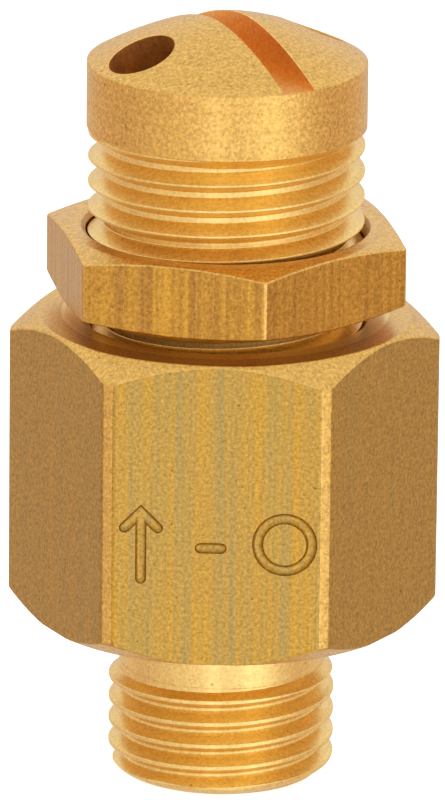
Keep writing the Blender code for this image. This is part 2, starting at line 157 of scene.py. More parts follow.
# Lock nut
NUT_FLATS = 19.0 * MM
NUT_CORNER_RADIUS = 10.9 * MM
NUT_TURN = math.radians(-15.9)
NUT_CHAMFER_RADIUS = 9.3 * MM
NUT_CHAMFER_DROP = math.tan(math.radians(15.0))
NUT_BORE_RADIUS = 8.12 * MM
NUT_BORE_CHAMFER = 0.25 * MM

# Engraved mark on the front flat
ARROW_X = -4.29 * MM
ARROW_LOW_Z = 14.85 * MM
ARROW_TOP_Z = 18.85 * MM
ARROW_HALF_HEAD = 0.95 * MM
DASH_X = -0.29 * MM
DASH_Z = 16.75 * MM
DASH_HALF = 0.6 * MM
RING_X = 3.94 * MM
RING_Z = 17.05 * MM
RING_RADIUS = 1.55 * MM
STROKE_RADIUS = 0.33 * MM
STROKE_OUT = 0.08 * MM  # from the flat to the middle of the cutter
STROKE_SIDES = 20
STROKE_END = (0.05, 0.5, 0.85)  # sizes of the rings that round off an open stroke
RING_STEPS = 48
SHAFT_GAP = 0.2 * MM  # between the end of the arrow's shaft and its tip

# Pieces inside the valve
STEM_RADIUS = 1.5 * MM
HOLE_RADIUS = 1.62 * MM
COLLAR_RADIUS = 2.3 * MM
COLLAR_HEIGHT = 1.0 * MM
DISC_RADIUS = 5.75 * MM
PLATE_RADIUS = 6.6 * MM
PLATE_RECESS_RADIUS = 5.9 * MM
PLATE_SKIRT = 1.3 * MM
PLATE_WEB = 1.6 * MM
HUB_RADIUS = 2.9 * MM
PORT_COUNT = 3
PORT_RADIUS = 1.5 * MM
PORT_DEPTH = 0.6 * MM  # how far each port bites into the plate's edge
PORT_SIDES = 40
WASHER_RADIUS = 3.4 * MM
STEM_NUT_FLATS = 5.5 * MM
STEM_NUT_CORNER_RADIUS = 3.1 * MM
SEAT_FLANGE_RADIUS = 4.9 * MM
SEAT_FLANGE_LOW_Z = 38.6 * MM
SEAT_FLANGE_THICKNESS = 1.0 * MM
SEAT_BOSS_RADIUS = 2.3 * MM
GUIDE_RADIUS = 2.7 * MM
GUIDE_BORE_RADIUS = 1.7 * MM
WIRE_RADIUS = 0.6 * MM
COIL_RADIUS = 4.2 * MM
END_PITCH = 1.3 * MM
ACTIVE_TURNS = 6.5
COIL_TURNS = ACTIVE_TURNS + 2
WIRE_SIDES = 20
RINGS_PER_TURN = 48

# Fineness
COLUMN_STEP = math.radians(2.5)
CORNER_STEPS = (0.0, 0.35, 0.7, 1.0, 1.2, 1.6, 2.4)  # shares of the half angle of a broken corner
ARC_STEPS = 3
EDGE = 0.12 * MM  # how far from a corner its rounding starts
CORNER_TURNED_HIGHLIGHT_SHARE = 0.7  # share of a broken corner that shows the brighter turned metal, partly its turned finish and partly a painted highlight
CORNER_BLEND = 0.06 * MM  # between a flat and a broken corner
THREAD_BLEND = 0.05 * MM  # between a thread and its chamfers and run-outs

# Places in the hexagon pieces' materials, and for the cut metal in the adjusting screw's, whose lighter,
# redder colour is painted bounce light in the slot and vents
FLAT_METAL, TURNED_METAL, CUT_METAL_PAINTED_BOUNCE = range(3)


# ---------------------------------------------------------------- meshes


def columns(half_corner=None, turn=0.0):
    """Angles all the way round, closer together beside a hexagon's corners if they have a half angle."""
    angles = set(np.arange(0.0, FULL_TURN, COLUMN_STEP).tolist())
    for i in range(6 if half_corner else 0):
        corner = turn + FULL_TURN * i / 6
        reach = half_corner * CORNER_STEPS[-1]
        angles -= {a for a in angles if abs((a - corner + math.pi) % FULL_TURN - math.pi) < reach}
        for step in CORNER_STEPS:
            angles |= {(corner + half_corner * step) % FULL_TURN, (corner - half_corner * step) % FULL_TURN}
    kept = [0.0]
    for angle in sorted(angles):
        if 1e-4 < angle - kept[-1] and angle < FULL_TURN - 1e-4:
            kept.append(angle)
    return np.array(kept + [FULL_TURN])


def rounded(outline, angles, edge=EDGE):
    """Rows along an outline with rounded corners.

    A point is (radius, height), and its own edge where the common one doesn't suit it.
    """
    points = [np.stack([np.broadcast_to(v, angles.shape).astype(float) for v in p[:2]]) for p in outline]
    edges = [p[2] if len(p) > 2 else edge for p in outline]
    rows = [points[0]]
    for before, corner, after, reach in zip(points, points[1:], points[2:], edges[1:]):
        back, on = before - corner, after - corner
        back_length = np.maximum(np.linalg.norm(back, axis=0), TINY)
        on_length = np.maximum(np.linalg.norm(on, axis=0), TINY)
        reach = np.minimum(reach, 0.45 * np.minimum(back_length, on_length))
        start = corner + back * (reach / back_length)
        end = corner + on * (reach / on_length)
        rows.append(start + 0.1 * (start - corner))
        for i in range(ARC_STEPS + 1):
            t = i / ARC_STEPS
            rows.append((1 - t) ** 2 * start + 2 * t * (1 - t) * corner + t * t * end)
        rows.append(end + 0.1 * (end - corner))
    return rows + [points[-1]]


def smallest(a, b, blend):
    """Smooth minimum of two radii."""
    near = np.maximum(blend - np.abs(a - b), 0.0) / blend
    return np.minimum(a, b) - near * near * blend / 4


def thread_outline(pitch, crest_radius, root_radius, half_angle, crest_flat, spacing, edge):
    """(height, radius) points of one pitch of thread, from the middle of one crest to the next."""
    flank = abs(crest_radius - root_radius) * math.tan(half_angle)
    corners = [
        (0.0, crest_radius),
        (crest_flat / 2, crest_radius),
        (crest_flat / 2 + flank, root_radius),
        (pitch - crest_flat / 2 - flank, root_radius),
        (pitch - crest_flat / 2, crest_radius),
        (pitch, crest_radius),
    ]
    rows = rounded(corners, np.zeros(1), edge)
    points = [(float(row[0, 0]), float(row[1, 0])) for row in rows]
    filled = []
    for (z0, r0), (z1, r1) in zip(points, points[1:]):
        pieces = max(1, math.ceil((z1 - z0) / spacing))
        filled += [(z0 + (z1 - z0) * i / pieces, r0 + (r1 - r0) * i / pieces) for i in range(pieces)]
    return filled


def thread_rows(angles, outline, pitch, crest_z, low_z, high_z, limit):
    """Rows of a right-hand thread, upwards. They wind up the helix and stop at the two ends.

    limit(radius, height) narrows or widens the thread at its chamfers and run-outs.
    """
    first = math.floor((low_z - crest_z) / pitch) - 2
    last = math.ceil((high_z - crest_z) / pitch) + 1
    low_end, high_end = [limit(np.full(1, outline[0][1]), np.full(1, z))[0] for z in (low_z, high_z)]
    rows = []
    for turn in range(first, last + 1):
        for height, radius in outline:
            climb = crest_z + (turn + angles / FULL_TURN) * pitch + height
            z = np.clip(climb, low_z, high_z)
            if np.all(climb < low_z - pitch) or np.all(climb > high_z + pitch):
                continue
            out = limit(np.full(angles.shape, radius), z)
            out = np.where(climb <= low_z, low_end, np.where(climb >= high_z, high_end, out))
            rows.append(np.stack([out, z]))
    return rows


def loop_mesh(name, angles, sections, materials, closed):
    """Mesh of sections of rows swept round the axis. Each section's faces take one material.

    It is a ring when closed, and otherwise starts and ends on the axis.
    """
    rows, paint = [], []
    for index, section in sections:
        rows += section
        paint += [index] * len(section)
    grid = np.stack(rows)
    cos, sin = np.cos(angles), np.sin(angles)
    points = np.stack([grid[:, 0] * cos, grid[:, 0] * sin, grid[:, 1]], axis=2)
    count, width = points.shape[:2]
    places = [(i, (i + 1) % count) for i in range(count if closed else count - 1)]
    low = np.array([a for a, _ in places])[:, None] * width + np.arange(width - 1)
    high = np.array([b for _, b in places])[:, None] * width + np.arange(width - 1)
    faces = np.stack([low, low + 1, high + 1, high], axis=2).reshape(-1, 4)
    mesh = bpy.data.meshes.new(name)
    mesh.from_pydata(points.reshape(-1, 3).tolist(), [], faces.tolist())
    slots = np.repeat([paint[a] for a, _ in places], width - 1)
    mesh.polygons.foreach_set("material_index", slots.astype(np.int32))
    for material in materials:
        mesh.materials.append(material)
    work = bmesh.new()
    work.from_mesh(mesh)
    bmesh.ops.remove_doubles(work, verts=work.verts, dist=MERGE)
    bmesh.ops.dissolve_degenerate(work, dist=MERGE / 10, edges=work.edges)
    bmesh.ops.recalc_face_normals(work, faces=work.faces)
    work.to_mesh(mesh)
    work.free()
    obj = bpy.data.objects.new(name, mesh)
    bpy.context.scene.collection.objects.link(obj)
    return obj


def half_corner(flats, corner_radius):
    """Half the angle that a hexagon's broken corner spans."""
    return math.radians(30.0) - math.acos(flats / 2 / corner_radius)


def hex_radius(angles, flats, corner_radius, turn=0.0):
    """Distance from the axis to a hexagon whose corners are broken by a circle."""
    off_flat = (angles - turn) % (math.pi / 3) - math.pi / 6
    return smallest(flats / 2 / np.cos(off_flat), np.full(angles.shape, corner_radius), CORNER_BLEND)


def crown_z(radius):
    """Height of the head's crowned top at a radius."""
    return RIM_Z + CROWN_HEIGHT * (1.0 - (np.minimum(radius, HEAD_RADIUS) / HEAD_RADIUS) ** CROWN_POWER)


def cut(obj, tool, operation="DIFFERENCE"):
    """Cuts an object with a tool, or joins them, for good, and removes the tool."""
    step = obj.modifiers.new("cut", "BOOLEAN")
    step.operation = operation
    step.solver = "EXACT"
    step.object = tool
    bpy.context.view_layer.update()
    evaluated = obj.evaluated_get(bpy.context.evaluated_depsgraph_get())
    mesh = bpy.data.meshes.new_from_object(evaluated)
    obj.modifiers.remove(step)
    old = obj.data
    obj.data = mesh
    mesh.name = old.name
    bpy.data.meshes.remove(old)
    bpy.data.objects.remove(tool)
    return obj


def tool_mesh(name, points, closed=False, material=0):
    """Solid from a grid of rings, capped at both ends or closed on itself.

    material is the index, on the object it cuts, of the material its cut faces take.
    """
    count, width = points.shape[:2]
    faces = []
    for i in range(count if closed else count - 1):
        for j in range(width):
            here, there, k = i * width, (i + 1) % count * width, (j + 1) % width
            faces.append((here + j, here + k, there + k, there + j))
    if not closed:
        faces.append(tuple(range(width)))
        faces.append(tuple(range((count - 1) * width, count * width)))
    mesh = bpy.data.meshes.new(name)
    mesh.from_pydata(points.reshape(-1, 3).tolist(), [], faces)
    work = bmesh.new()
    work.from_mesh(mesh)
    for face in work.faces:
        face.material_index = material
    bmesh.ops.recalc_face_normals(work, faces=work.faces)
    work.to_mesh(mesh)
    work.free()
    obj = bpy.data.objects.new(name, mesh)
    bpy.context.scene.collection.objects.link(obj)
    return obj


def finish_mesh(obj, sharp=35.0):
    """Smooth shading with sharp creases."""
    obj.data.shade_smooth()
    obj.data.set_sharp_from_angle(angle=math.radians(sharp))
    return obj


def piece(obj, body, node):
    """Makes an object stand for a CAD node on its body: shaded smooth, the node hidden and the object
    attached.
    """
    finish_mesh(obj)
    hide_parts(node)
    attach(obj, body)
    return obj


# ---------------------------------------------------------------- materials


class Nodes:
    """Short way to write a material's node tree."""

    def __init__(self, name, roughness, metallic):
        self.material = bpy.data.materials.new(name)
        self.material.use_nodes = True
        self.tree = self.material.node_tree
        self.shader = self.tree.nodes["Principled BSDF"]
        self.shader.inputs["Metallic"].default_value = metallic
        self.shader.inputs["Roughness"].default_value = roughness
        self.place = self.tree.nodes.new("ShaderNodeTexCoord").outputs["Object"]

    def put(self, value, socket):
        if isinstance(value, bpy.types.NodeSocket):
            self.tree.links.new(value, socket)
        elif value is not None:
            socket.default_value = value

    def math(self, operation, a, b=None, clamp=False):
        node = self.tree.nodes.new("ShaderNodeMath")
        node.operation = operation
        node.use_clamp = clamp
        self.put(a, node.inputs[0])
        self.put(b, node.inputs[1])
        return node.outputs[0]

    def stretch(self, scale, vector=None):
        node = self.tree.nodes.new("ShaderNodeVectorMath")
        node.operation = "MULTIPLY"
        self.put(vector or self.place, node.inputs[0])
        node.inputs[1].default_value = scale
        return node.outputs[0]

    def noise(self, vector, detail=2.0, roughness=0.5):
        node = self.tree.nodes.new("ShaderNodeTexNoise")
        node.inputs["Scale"].default_value = 1.0
        node.inputs["Detail"].default_value = detail
        node.inputs["Roughness"].default_value = roughness
        self.put(vector, node.inputs["Vector"])
        return node.outputs["Fac"]

    def ramp(self, value, low, high, to_low=0.0, to_high=1.0):
        node = self.tree.nodes.new("ShaderNodeMapRange")
        self.put(value, node.inputs["Value"])
        for name, number in zip(("From Min", "From Max", "To Min", "To Max"), (low, high, to_low, to_high)):
            node.inputs[name].default_value = number
        return node.outputs["Result"]

    def mix(self, factor, a, b, kind="MIX"):
        node = self.tree.nodes.new("ShaderNodeMix")
        node.data_type = "RGBA"
        node.blend_type = kind
        self.put(factor, node.inputs["Factor"])
        for value, socket in ((a, node.inputs[6]), (b, node.inputs[7])):
            self.put((*value, 1.0) if isinstance(value, tuple) else value, socket)
        return node.outputs[2]

    def round_place(self):
        """(distance from the axis, height, a little of the angle) of a point."""
        parts = self.tree.nodes.new("ShaderNodeSeparateXYZ")
        self.put(self.place, parts.inputs[0])
        across = self.math("POWER", parts.outputs[0], 2.0)
        along = self.math("POWER", parts.outputs[1], 2.0)
        radius = self.math("SQRT", self.math("ADD", across, along))
        node = self.tree.nodes.new("ShaderNodeCombineXYZ")
        self.put(radius, node.inputs[0])
        self.put(parts.outputs[2], node.inputs[1])
        return node.outputs[0]

    def bump(self, height, distance, strength=1.0):
        node = self.tree.nodes.new("ShaderNodeBump")
        node.inputs["Strength"].default_value = strength
        node.inputs["Distance"].default_value = distance
        self.put(height, node.inputs["Height"])
        self.put(node.outputs["Normal"], self.shader.inputs["Normal"])


# Brass: cells of noise per metre. Drawn streaks are long in z, and turned rings don't change round the axis.
DRAWN_STREAKS = (2600.0, 2600.0, 25.0)
DRAWN_LINES = (9000.0, 9000.0, 120.0)
TURNED_RINGS = (2600.0, 2600.0, 0.0)
TURNED_LINES = (16000.0, 16000.0, 0.0)
PATCHES = (260.0, 260.0, 260.0)
GRAIN = (5000.0, 5000.0, 5000.0)
PITS = (3300.0, 3300.0, 3300.0)
BRASS_RELIEF = 0.006 * MM
RING_RELIEF = 0.6  # height of turned rings, as a share of drawn streaks'


def brass(name, colour, dark, light, drawn, roughness=0.33, grain=1.0, side_streaks=1.0):
    """Machined brass: drawn streaks along the axis on flats, or turned rings on round faces.

    side_streaks is how much of the streaks' colour is left on faces that don't look forward or back.
    """
    n = Nodes(name, roughness, 1.0)
    if drawn:
        streaks = n.noise(n.stretch(DRAWN_STREAKS), 4.0, 0.65)
        fine = n.noise(n.stretch(DRAWN_LINES), 2.0, 0.6)
    else:
        around = n.round_place()
        streaks = n.noise(n.stretch(TURNED_RINGS, around), 3.0, 0.6)
        fine = n.noise(n.stretch(TURNED_LINES, around), 2.0, 0.6)
    patches = n.noise(n.stretch(PATCHES), 3.0, 0.6)
    specks = n.noise(n.stretch(GRAIN), 3.0, 0.75)
    pits = n.noise(n.stretch(PITS), 1.0, 0.5)

    tone = n.mix(n.ramp(streaks, 0.32, 0.68), dark, light)
    normal = n.tree.nodes.new("ShaderNodeSeparateXYZ")
    n.put(n.tree.nodes.new("ShaderNodeTexCoord").outputs["Normal"], normal.inputs[0])
    forward = n.math("ABSOLUTE", normal.outputs[1])
    tone = n.mix(n.ramp(forward, 0.6, 0.95, side_streaks, 1.0), colour, tone)
    tone = n.mix(n.ramp(patches, 0.3, 0.7, 0.0, 0.4), tone, colour)
    bright = n.ramp(specks, 0.32, 0.68, 1.0 - 0.24 * grain, 1.0 + 0.22 * grain)
    pit = n.ramp(pits, 0.74, 0.80, 1.0, 0.55)
    scaled = n.tree.nodes.new("ShaderNodeVectorMath")
    scaled.operation = "SCALE"
    n.put(tone, scaled.inputs[0])
    n.put(n.math("MULTIPLY", bright, pit), scaled.inputs["Scale"])
    n.put(scaled.outputs[0], n.shader.inputs["Base Color"])

    lines_rough = n.ramp(fine, 0.3, 0.7, roughness - 0.05, roughness + 0.05)
    grain_rough = n.ramp(specks, 0.3, 0.7, -0.03, 0.05)
    n.put(n.math("ADD", lines_rough, grain_rough), n.shader.inputs["Roughness"])

    relief = 1.0 if drawn else RING_RELIEF
    height = n.math("ADD", n.math("MULTIPLY", streaks, 0.5 * relief), n.math("MULTIPLY", fine, 0.35 * relief))
    height = n.math("ADD", height, n.math("MULTIPLY", specks, 0.45 * grain))
    n.bump(height, BRASS_RELIEF)
    return n.material


def plain(name, colour, roughness, metallic, ring_scale, distance):
    """Steel or rubber with turned or moulded rings."""
    n = Nodes(name, roughness, metallic)
    rings = n.noise(n.stretch((ring_scale, ring_scale, 0.0), n.round_place()), 2.0, 0.6)
    specks = n.noise(n.stretch((6000.0, 6000.0, 6000.0)), 2.0, 0.6)
    light = tuple(min(1.0, 1.12 * c) for c in colour)
    dark = tuple(0.85 * c for c in colour)
    n.put(n.mix(n.ramp(specks, 0.35, 0.65), dark, light), n.shader.inputs["Base Color"])
    n.put(n.ramp(rings, 0.3, 0.7, roughness - 0.05, roughness + 0.08), n.shader.inputs["Roughness"])
    n.bump(rings, distance)
    return n.material


FLAT_BRASS = brass(
    "drawn_brass",
    colour=(0.48, 0.287, 0.066),
    dark=(0.37, 0.275, 0.10),
    light=(0.63, 0.325, 0.036),
    drawn=True,
    roughness=0.36,
    grain=1.5,
    side_streaks=0.3,
)
NUT_BRASS = brass(
    "milled_brass",
    colour=(0.56, 0.288, 0.058),
    dark=(0.42, 0.20, 0.05),
    light=(0.72, 0.385, 0.058),
    drawn=True,
    roughness=0.32,
    grain=1.4,
)
ROUND_BRASS = brass(
    "turned_brass",
    colour=(0.76, 0.45, 0.12),
    dark=(0.71, 0.42, 0.11),
    light=(0.80, 0.48, 0.135),
    drawn=False,
    roughness=0.33,
    grain=1.4,
)
THREAD_BRASS = brass(
    "threaded_brass",
    colour=(0.88, 0.61, 0.22),
    dark=(0.84, 0.57, 0.19),
    light=(0.92, 0.65, 0.25),
    drawn=False,
    roughness=0.32,
    grain=0.8,
)
# Lighter, redder brass for the slot's and vents' walls: painted bounce light that brightens these shaded
# recesses
CUT_BRASS_PAINTED_BOUNCE = brass(
    "cut_brass_painted_bounce_light",
    colour=(0.94, 0.55, 0.19),
    dark=(0.90, 0.50, 0.16),
    light=(0.97, 0.60, 0.22),
    drawn=False,
    roughness=0.38,
    grain=0.8,
)
STEEL = plain("turned_stainless_steel", (0.55, 0.55, 0.53), 0.25, 1.0, 9000.0, 0.003 * MM)
WIRE_STEEL = plain("spring_wire", (0.42, 0.42, 0.41), 0.32, 1.0, 5000.0, 0.002 * MM)
RUBBER = plain("moulded_rubber", (0.02, 0.02, 0.02), 0.6, 0.0, 3000.0, 0.01 * MM)


# ---------------------------------------------------------------- body


def body_sections(angles):
    """Rows of the body: hexagon, shoulder, neck, spigot thread, inlet, seat, chamber and screw thread."""
    top = body_high.z
    hexagon = hex_radius(angles, HEX_FLATS, HEX_CORNER_RADIUS)
    flat_high = top - (hexagon - TOP_CHAMFER_RADIUS) * TOP_CHAMFER_DROP
    shoulder = np.minimum(hexagon - LEAST_CHAMFER, SHOULDER_CHAMFER_RADIUS)
    flat_low = SHOULDER_Z + (hexagon - shoulder) * SHOULDER_CHAMFER_RISE
    middle = (top + SHOULDER_Z) / 2
    upper = rounded(
        [
            (9.5 * MM, top),
            (TOP_CHAMFER_RADIUS, top, 0.08 * MM),
            (hexagon, flat_high, 0.14 * MM),
            (hexagon, middle),
        ],
        angles,
    )
    split = len(upper) - 4
    lower = rounded(
        [
            (hexagon, middle),
            (hexagon, flat_low),
            (shoulder, SHOULDER_Z, 0.1 * MM),
            (8.0 * MM, SHOULDER_Z),
        ],
        angles,
    )
    flat_rows = 4
    low_z, high_z = 0.05 * MM, NECK_LOW_Z

    def spigot_limit(radius, z):
        rise = np.clip(1.0 - z / SPIGOT_END_RISE, 0.0, 1.0)
        end = SPIGOT_END_RADIUS + (G_CREST_RADIUS + 0.03 * MM - SPIGOT_END_RADIUS) * np.sqrt(1.0 - rise**2)
        run_out = NECK_RADIUS + (high_z - z) * 1.2
        shallow = NECK_RADIUS - np.maximum(high_z - NECK_BLEND - z, 0.0)
        thread = smallest(smallest(radius, end, THREAD_BLEND), run_out, THREAD_BLEND)
        return -smallest(-thread, -shallow, THREAD_BLEND)

    g_flank = (G_CREST_RADIUS - G_ROOT_RADIUS) * math.tan(G_HALF_ANGLE)
    g_outline = thread_outline(
        G_PITCH, G_CREST_RADIUS, G_ROOT_RADIUS, G_HALF_ANGLE, G_PITCH / 2 - g_flank, 0.08 * MM, 0.09 * MM
    )
    spigot = thread_rows(angles, g_outline, G_PITCH, G_CREST_Z, low_z, high_z, spigot_limit)[::-1]
    neck = rounded([(8.0 * MM, SHOULDER_Z), (NECK_RADIUS, SHOULDER_Z), (NECK_RADIUS, high_z)], angles)
    end_radius = spigot_limit(np.full(1, G_CREST_RADIUS), np.full(1, low_z))[0]
    inlet = rounded(
        [
            (end_radius, low_z),
            (SPIGOT_END_RADIUS - 0.1 * MM, 0.0),
            (INLET_RADIUS + INLET_CHAMFER, 0.0, 0.05 * MM),
            (INLET_RADIUS, INLET_CHAMFER, 0.05 * MM),
            (INLET_RADIUS, SEAT_Z - (SEAT_INNER_RADIUS - INLET_RADIUS)),
            (SEAT_INNER_RADIUS, SEAT_Z, 0.05 * MM),
            (SEAT_OUTER_RADIUS, SEAT_Z, 0.05 * MM),
            (SEAT_FOOT_RADIUS, CHAMBER_FLOOR_Z),
            (CHAMBER_RADIUS, CHAMBER_FLOOR_Z),
            (CHAMBER_RADIUS, RELIEF_LOW_Z - (RELIEF_RADIUS - CHAMBER_RADIUS) / 2),
            (RELIEF_RADIUS, RELIEF_LOW_Z),
            (RELIEF_RADIUS, RELIEF_HIGH_Z),
        ],
        angles,
    )

    def tap_limit(radius, z):
        relief = RELIEF_RADIUS - (z - RELIEF_HIGH_Z) * 2.0
        mouth = BORE_CHAMFER_RADIUS - (top - z)
        return -smallest(smallest(-radius, -relief, 0.04 * MM), -mouth, 0.04 * MM)

    narrower = 2 * THREAD_PLAY * math.tan(M_HALF_ANGLE)
    wider = 2 * THREAD_PLAY / math.cos(M_HALF_ANGLE)
    tap_outline = thread_outline(
        M_PITCH,
        M_CREST_RADIUS + THREAD_PLAY,
        CHAMBER_RADIUS,
        M_HALF_ANGLE,
        M_CREST_FLAT - narrower + wider,
        0.14 * MM,
        0.06 * MM,
    )
    tap = thread_rows(angles, tap_outline, M_PITCH, M_CREST_Z, RELIEF_HIGH_Z, top, tap_limit)
    flat, turned, threaded = range(3)
    return [
        (turned, upper[:split]),
        (flat, upper[split:] + lower[:flat_rows]),
        (turned, lower[flat_rows:]),
        (threaded, neck + spigot),
        (turned, inlet),
        (threaded, tap),
    ]


def turned_corners_and_highlight(obj, flats, corner_radius, turn=0.0):
    """Gives the middle of a hexagon's broken corners the brighter turned material instead of the drawn one:
    the corner's turned finish, and also a painted highlight down each corner.
    """
    reach = CORNER_TURNED_HIGHLIGHT_SHARE * half_corner(flats, corner_radius)
    for face in obj.data.polygons:
        angle = math.atan2(face.center.y, face.center.x) - turn
        off_corner = abs((angle + math.pi / 6) % (math.pi / 3) - math.pi / 6)
        outside = math.hypot(face.center.x, face.center.y) > flats / 2
        upright = abs(face.normal.z) < 0.3
        if face.material_index == FLAT_METAL and upright and outside and off_corner < reach:
            face.material_index = TURNED_METAL


def stroke(name, path, closed=False):
    """Round bar that follows a path in the plane y = 0, as a cutter for an engraved line."""
    points = [Vector((x, 0.0, z)) for x, z in path]
    count = len(points)
    rings = []
    ends = () if closed else STROKE_END
    for i, point in enumerate(points):
        before = points[i - 1] if closed or i > 0 else None
        after = points[(i + 1) % count] if closed or i < count - 1 else None
        come = (point - before).normalized() if before else (after - point).normalized()
        go = (after - point).normalized() if after else come
        along = (come + go).normalized()
        side = along.cross(Vector((0.0, 1.0, 0.0)))
        spread = STROKE_RADIUS / max(along.dot(go), 0.3)
        steps = [(0.0, 1.0)]
        if before is None:
            steps = [(-math.sqrt(1.0 - e * e), e) for e in ends] + steps
        if after is None:
            steps += [(math.sqrt(1.0 - e * e), e) for e in reversed(ends)]
        for shift, size in steps:
            centre = point + along * shift * STROKE_RADIUS
            ring = []
            for k in range(STROKE_SIDES):
                angle = FULL_TURN * k / STROKE_SIDES
                out = side * spread * math.cos(angle) + Vector((0.0, STROKE_RADIUS * math.sin(angle), 0.0))
                ring.append(tuple(centre + out * size))
            rings.append(ring)
    return tool_mesh(name, np.array(rings), closed)


def engraving_tool():
    """A plain mark on the front flat: an arrow up, a dash and a ring."""
    tip_z, half_head = ARROW_TOP_Z, ARROW_HALF_HEAD
    tool = stroke("arrow_shaft", [(ARROW_X, ARROW_LOW_Z), (ARROW_X, tip_z - SHAFT_GAP)])
    barb_z = tip_z - half_head
    head = [(ARROW_X - half_head, barb_z), (ARROW_X, tip_z), (ARROW_X + half_head, barb_z)]
    cut(tool, stroke("arrow_head", head), "UNION")
    dash = [(DASH_X - DASH_HALF, DASH_Z), (DASH_X + DASH_HALF, DASH_Z)]
    cut(tool, stroke("dash", dash), "UNION")
    turns = [FULL_TURN * i / RING_STEPS for i in range(RING_STEPS)]
    ring = [(RING_X + RING_RADIUS * math.cos(a), RING_Z + RING_RADIUS * math.sin(a)) for a in turns]
    cut(tool, stroke("ring", ring, closed=True), "UNION")
    tool.data.transform(Matrix.Translation((0.0, -HEX_FLATS / 2 - STROKE_OUT, 0.0)))
    return tool


def valve_body():
    """Hexagon body with its spigot thread, inside and engraved mark."""
    angles = columns(half_corner(HEX_FLATS, HEX_CORNER_RADIUS))
    materials = [FLAT_BRASS, ROUND_BRASS, THREAD_BRASS]
    obj = loop_mesh("valve_body_brass", angles, body_sections(angles), materials, closed=True)
    turned_corners_and_highlight(obj, HEX_FLATS, HEX_CORNER_RADIUS)
    cut(obj, engraving_tool())
    return piece(obj, "valve_body", "valve_body")


def lock_nut():
    """Thin hexagon nut, chamfered on both faces and in its bore."""
    angles = columns(half_corner(NUT_FLATS, NUT_CORNER_RADIUS), NUT_TURN)
    hexagon = hex_radius(angles, NUT_FLATS, NUT_CORNER_RADIUS, NUT_TURN)
    drop = (hexagon - NUT_CHAMFER_RADIUS) * NUT_CHAMFER_DROP
    low, high = nut_low.z, nut_high.z
    wide = NUT_BORE_RADIUS + NUT_BORE_CHAMFER
    rows = rounded(
        [
            (NUT_BORE_RADIUS, (low + high) / 2),
            (NUT_BORE_RADIUS, high - NUT_BORE_CHAMFER, 0.06 * MM),
            (wide, high, 0.06 * MM),
            (NUT_CHAMFER_RADIUS, high),
            (hexagon, high - drop),
            (hexagon, low + drop),
            (NUT_CHAMFER_RADIUS, low),
            (wide, low, 0.06 * MM),
            (NUT_BORE_RADIUS, low + NUT_BORE_CHAMFER, 0.06 * MM),
            (NUT_BORE_RADIUS, (low + high) / 2),
        ],
        angles,
    )
    corner = ARC_STEPS + 3
    first, last = 1 + 3 * corner + corner // 2, 1 + 5 * corner - corner // 2
    sections = [(TURNED_METAL, rows[:first]), (FLAT_METAL, rows[first:last]), (TURNED_METAL, rows[last:])]
    obj = loop_mesh("lock_nut_brass", angles, sections, [NUT_BRASS, ROUND_BRASS], closed=True)
    turned_corners_and_highlight(obj, NUT_FLATS, NUT_CORNER_RADIUS, NUT_TURN)
    return piece(obj, "lock_nut", "lock_nut")


def slot_tool():
    """Screwdriver slot whose mouth is chamfered along the crown."""
    half = SLOT_WIDTH / 2
    rings = []
    for along in np.linspace(-SLOT_TOOL_REACH, SLOT_TOOL_REACH, SLOT_TOOL_RINGS):
        mouth = float(crown_z(math.hypot(along, half)))
        inner = max(mouth - EDGE_CHAMFER, SLOT_FLOOR_Z + 0.01 * MM)
        wide = half + (mouth - inner) + SLOT_TOOL_RISE
        sides = [(half, SLOT_FLOOR_Z), (half, inner), (wide, mouth + SLOT_TOOL_RISE)]
        ring = sides + [(-v, z) for v, z in reversed(sides)]
        rings.append([(along, v, z) for v, z in ring])
    # its cut faces take the brass with painted bounce light
    obj = tool_mesh("slot_tool", np.array(rings), material=CUT_METAL_PAINTED_BOUNCE)
    obj.data.transform(Matrix.Rotation(SLOT_ANGLE, 4, "Z"))
    return obj


def vent_tool(side):
    """Tilted vent hole whose mouth is chamfered along the crown."""
    angle = SLOT_ANGLE + side * math.pi / 2
    centre = Vector((VENT_OFFSET * math.cos(angle), VENT_OFFSET * math.sin(angle), crown_z(VENT_OFFSET)))
    turn = Matrix.Rotation(angle, 3, "Z") @ Matrix.Rotation(VENT_TILT, 3, "Y")
    around = np.linspace(0.0, FULL_TURN, VENT_SIDES, endpoint=False)
    levels = []
    for phi in around:
        low, high = -3.0 * MM, 3.0 * MM
        for _ in range(40):
            level = (low + high) / 2
            p = centre + turn @ Vector((VENT_RADIUS * math.cos(phi), VENT_RADIUS * math.sin(phi), level))
            if p.z > crown_z(math.hypot(p.x, p.y)):
                high = level
            else:
                low = level
        levels.append(low)
    rings = []
    for grow, offset in ((0.0, None), (0.0, -EDGE_CHAMFER), (EDGE_CHAMFER + VENT_TOOL_RISE, VENT_TOOL_RISE)):
        ring = []
        for phi, level in zip(around, levels):
            height = -VENT_REACH if offset is None else level + offset
            r = VENT_RADIUS + grow
            ring.append(centre + turn @ Vector((r * math.cos(phi), r * math.sin(phi), height)))
        rings.append([tuple(p) for p in ring])
    # its cut faces take the brass with painted bounce light
    return tool_mesh("vent_tool", np.array(rings), material=CUT_METAL_PAINTED_BOUNCE)


